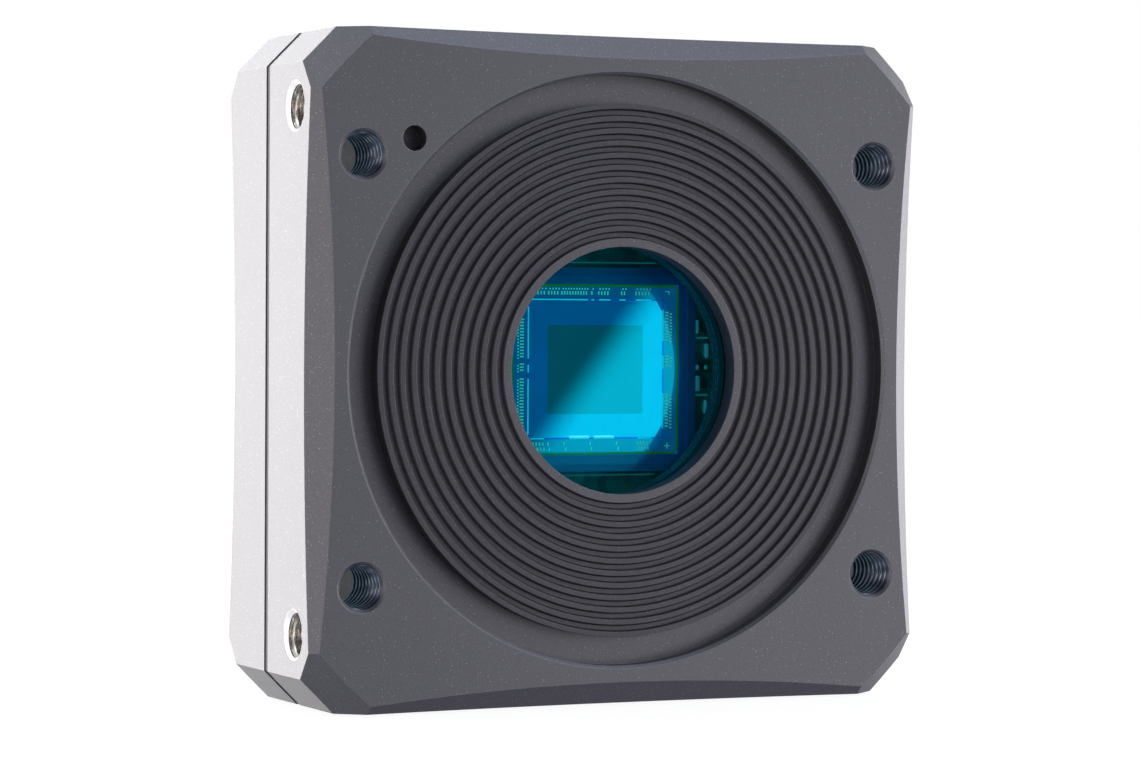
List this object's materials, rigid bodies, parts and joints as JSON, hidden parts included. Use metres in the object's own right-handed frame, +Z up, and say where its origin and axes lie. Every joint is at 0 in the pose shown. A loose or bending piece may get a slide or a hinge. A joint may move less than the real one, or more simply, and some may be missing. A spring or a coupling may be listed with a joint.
{
  "type": "cooled astronomy camera",
  "caption": "Slim square cooled camera head with cut corners, scooped edges, ribbed baffle round a tinted window, image sensor, tapped mounting holes and a rear cooling fan.",
  "frame": {"origin": "on the optical axis in the plane of the front face, at the centre of the four front tapped holes", "axes": "-Y is the optical axis, out of the window; +Z is up; +X is to the right seen from the front"},
  "size_m": [0.08, 0.0288, 0.08],
  "materials": {
    "anodised_grey": "bead-blasted dark grey anodised aluminium",
    "baffle_black_grey": "bead-blasted dark grey anodised aluminium, ribbed",
    "seal_rubber": "matt black elastomer",
    "black_steel": "black oxide steel",
    "tinted_glass": "blue-cyan coated window",
    "clear_glass": "polished cover glass",
    "black_anodised": "black anodised aluminium",
    "bright_steel": "stainless steel",
    "natural_plastic": "glass-filled plastic",
    "desiccant": "pressed white desiccant",
    "ceramic": "dark ceramic",
    "ceramic_white": "white alumina",
    "silicon": "polished silicon image sensor",
    "board_green": "green solder mask",
    "board_parts": "ceramic chip parts with tinned ends",
    "flex_film": "amber polyimide film",
    "black_plastic": "moulded black plastic",
    "copper": "bare copper",
    "nylon": "natural nylon",
    "tellurite": "grey semiconductor",
    "wire_sleeve": "silicone wire sleeve",
    "bare_aluminium": "milled aluminium",
    "bronze": "sintered bronze",
    "stator_steel": "laminated electrical steel",
    "rotor_plastic": "moulded black plastic",
    "magnet": "bonded ferrite",
    "guard_steel": "black coated steel",
    "nickel": "nickel plate",
    "gold": "gold plate",
    "led_white": "clear epoxy",
    "light_pipe": "clear acrylic rod"
  },
  "bodies": {
    "camera": {"aux_socket_body": "black_plastic", "aux_socket_pins": "gold", "board_link": "black_plastic", "case_screws": "black_steel", "chamber_body": "black_anodised", "chamber_o_ring": "seal_rubber", "chamber_screws": "bright_steel", "cold_finger": "copper", "cold_finger_screws": "nylon", "desiccant_tablets": "desiccant", "fan_bearing": "bronze", "fan_cable": "wire_sleeve", "fan_coils": "copper", "fan_frame": "black_plastic", "fan_guard": "guard_steel", "fan_screws": "bright_steel", "fan_stator": "stator_steel", "flex_connector": "black_plastic", "front_housing": "anodised_grey", "heat_sink": "bare_aluminium", "heat_sink_screws": "bright_steel", "housing_gasket": "seal_rubber", "main_board": "board_green", "main_board_chips": "black_plastic", "main_board_passives": "board_parts", "main_board_screws": "bright_steel", "port_board": "board_green", "port_board_screws": "bright_steel", "power_jack_body": "black_plastic", "power_jack_pin": "nickel", "rear_housing": "anodised_grey", "sensor_board": "board_green", "sensor_board_parts": "board_parts", "sensor_board_screws": "bright_steel", "sensor_cover_glass": "clear_glass", "sensor_die": "silicon", "sensor_flex_cable": "flex_film", "sensor_package": "ceramic", "status_led": "led_white", "status_light_pipe": "light_pipe", "tec_cold_plate": "ceramic_white", "tec_hot_plate": "ceramic_white", "tec_leads": "wire_sleeve", "tec_pellets": "tellurite", "thermal_break_ring": "natural_plastic", "thermistor": "black_plastic", "usb_receptacle_shell": "nickel", "usb_receptacle_tongue": "black_plastic", "window_baffle": "baffle_black_grey", "window_glass": "tinted_glass", "window_o_ring": "seal_rubber"},
    "rotor": {"fan_rotor": "rotor_plastic", "fan_magnet_ring": "magnet", "fan_shaft": "bright_steel"}
  },
  "joints": [
    {"name": "fan_spin", "type": "hinge", "parent": "camera", "child": "rotor", "pos_m": [0, 0.0216, 0.006], "axis": [0, 1, 0], "continuous": true}
  ]
}
